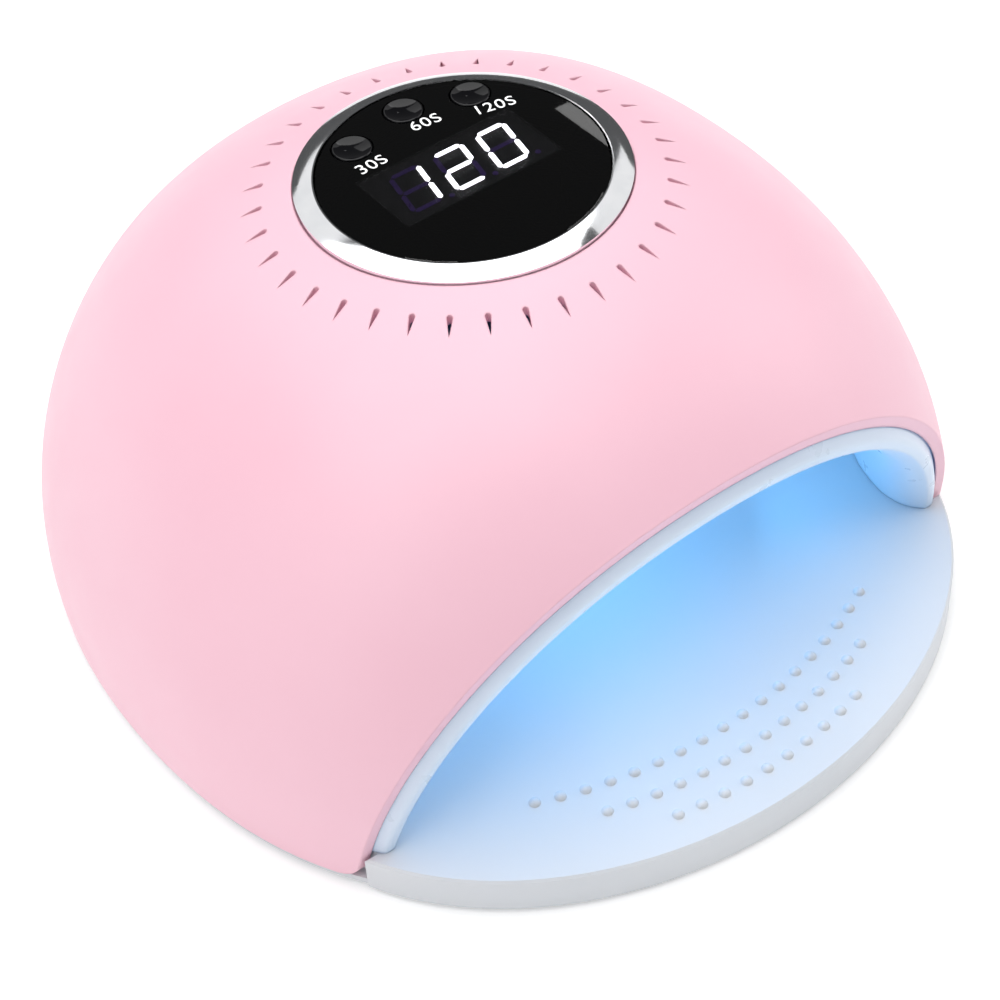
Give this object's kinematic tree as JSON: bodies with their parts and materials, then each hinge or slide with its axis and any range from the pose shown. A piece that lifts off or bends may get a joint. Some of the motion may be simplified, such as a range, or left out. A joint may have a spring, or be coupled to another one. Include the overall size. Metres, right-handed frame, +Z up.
{
  "type": "uv led nail lamp",
  "caption": "Domed UV LED nail lamp: pink shell with a ring of vents, round display with timer buttons, white reflector chamber, and a removable hand tray with massage dots.",
  "frame": {"origin": "on the table under the middle of the lamp's bounding box", "axes": "+Z up, the hand goes in from -Y, +X on the right seen from the front"},
  "size_m": [0.195, 0.2079, 0.1064],
  "materials": {
    "pink_shell": "satin moulded ABS",
    "white_tray": "satin moulded ABS",
    "reflector_white": "smooth moulded reflector",
    "chrome_trim": "plated",
    "black_lens": "polished smoked acrylic",
    "button_black": "polished",
    "lit_digit": "lit from inside",
    "dark_digit": "unlit",
    "black_plastic": "moulded",
    "circuit_board": "solder mask",
    "switch_grey": "moulded",
    "chip_black": "moulded",
    "capacitor_can": "sleeved",
    "connector_white": "moulded",
    "screw_steel": "zinc plated",
    "board_aluminium": "white solder mask on aluminium",
    "led_bead": "clear silicone, lit",
    "wire_white": "PVC",
    "wire_red": "PVC",
    "wire_black": "PVC",
    "sensor_dark": "infrared-pass",
    "contact_brass": "plated",
    "magnet": "nickel plated",
    "rubber": "matt"
  },
  "bodies": {
    "tray": {"hand_tray": "white_tray", "tray_plate": "white_tray", "tray_magnets": "magnet", "tray_feet": "rubber", "plate_screws": "screw_steel"},
    "lamp_head": {"outer_shell": "pink_shell", "bezel_ring": "chrome_trim", "display_lens": "black_lens", "lens_carrier": "black_plastic", "display_module": "black_plastic", "display_bars_lit": "lit_digit", "display_bars_dark": "dark_digit", "control_board": "circuit_board", "switch_housings": "switch_grey", "controller_chip": "chip_black", "driver_chip": "chip_black", "inductor": "chip_black", "capacitors": "capacitor_can", "buzzer": "black_plastic", "power_connector": "connector_white", "light_connector": "connector_white", "board_screws": "screw_steel", "carrier_screws": "screw_steel", "reflector_liner": "reflector_white", "side_boards": "board_aluminium", "side_beads": "led_bead", "crown_board": "board_aluminium", "crown_beads": "led_bead", "board_jumpers": "wire_white", "ir_sensor": "chip_black", "sensor_window": "sensor_dark", "liner_screws": "screw_steel", "head_magnets": "magnet", "dc_jack": "black_plastic", "jack_pin": "contact_brass", "jack_nut": "screw_steel", "power_lead_red": "wire_red", "power_lead_black": "wire_black", "light_lead": "wire_white", "side_lead": "wire_white"},
    "key_30s": {"button_30s": "button_black", "switch_plunger_30s": "switch_grey"},
    "key_60s": {"button_60s": "button_black", "switch_plunger_60s": "switch_grey"},
    "key_120s": {"button_120s": "button_black", "switch_plunger_120s": "switch_grey"}
  },
  "joints": [
    {"name": "head_lift", "type": "slide", "parent": "tray", "child": "lamp_head", "axis": [0, 0, 1], "range_m": [0, 0.06]},
    {"name": "press_30s", "type": "slide", "parent": "lamp_head", "child": "key_30s", "axis": [0, 0, -1], "range_m": [0, 0.0006], "stiffness_N_per_m": 1500, "springref_m": -0.0004},
    {"name": "press_60s", "type": "slide", "parent": "lamp_head", "child": "key_60s", "axis": [0, 0, -1], "range_m": [0, 0.0006], "stiffness_N_per_m": 1500, "springref_m": -0.0004},
    {"name": "press_120s", "type": "slide", "parent": "lamp_head", "child": "key_120s", "axis": [0, 0, -1], "range_m": [0, 0.0006], "stiffness_N_per_m": 1500, "springref_m": -0.0004}
  ]
}
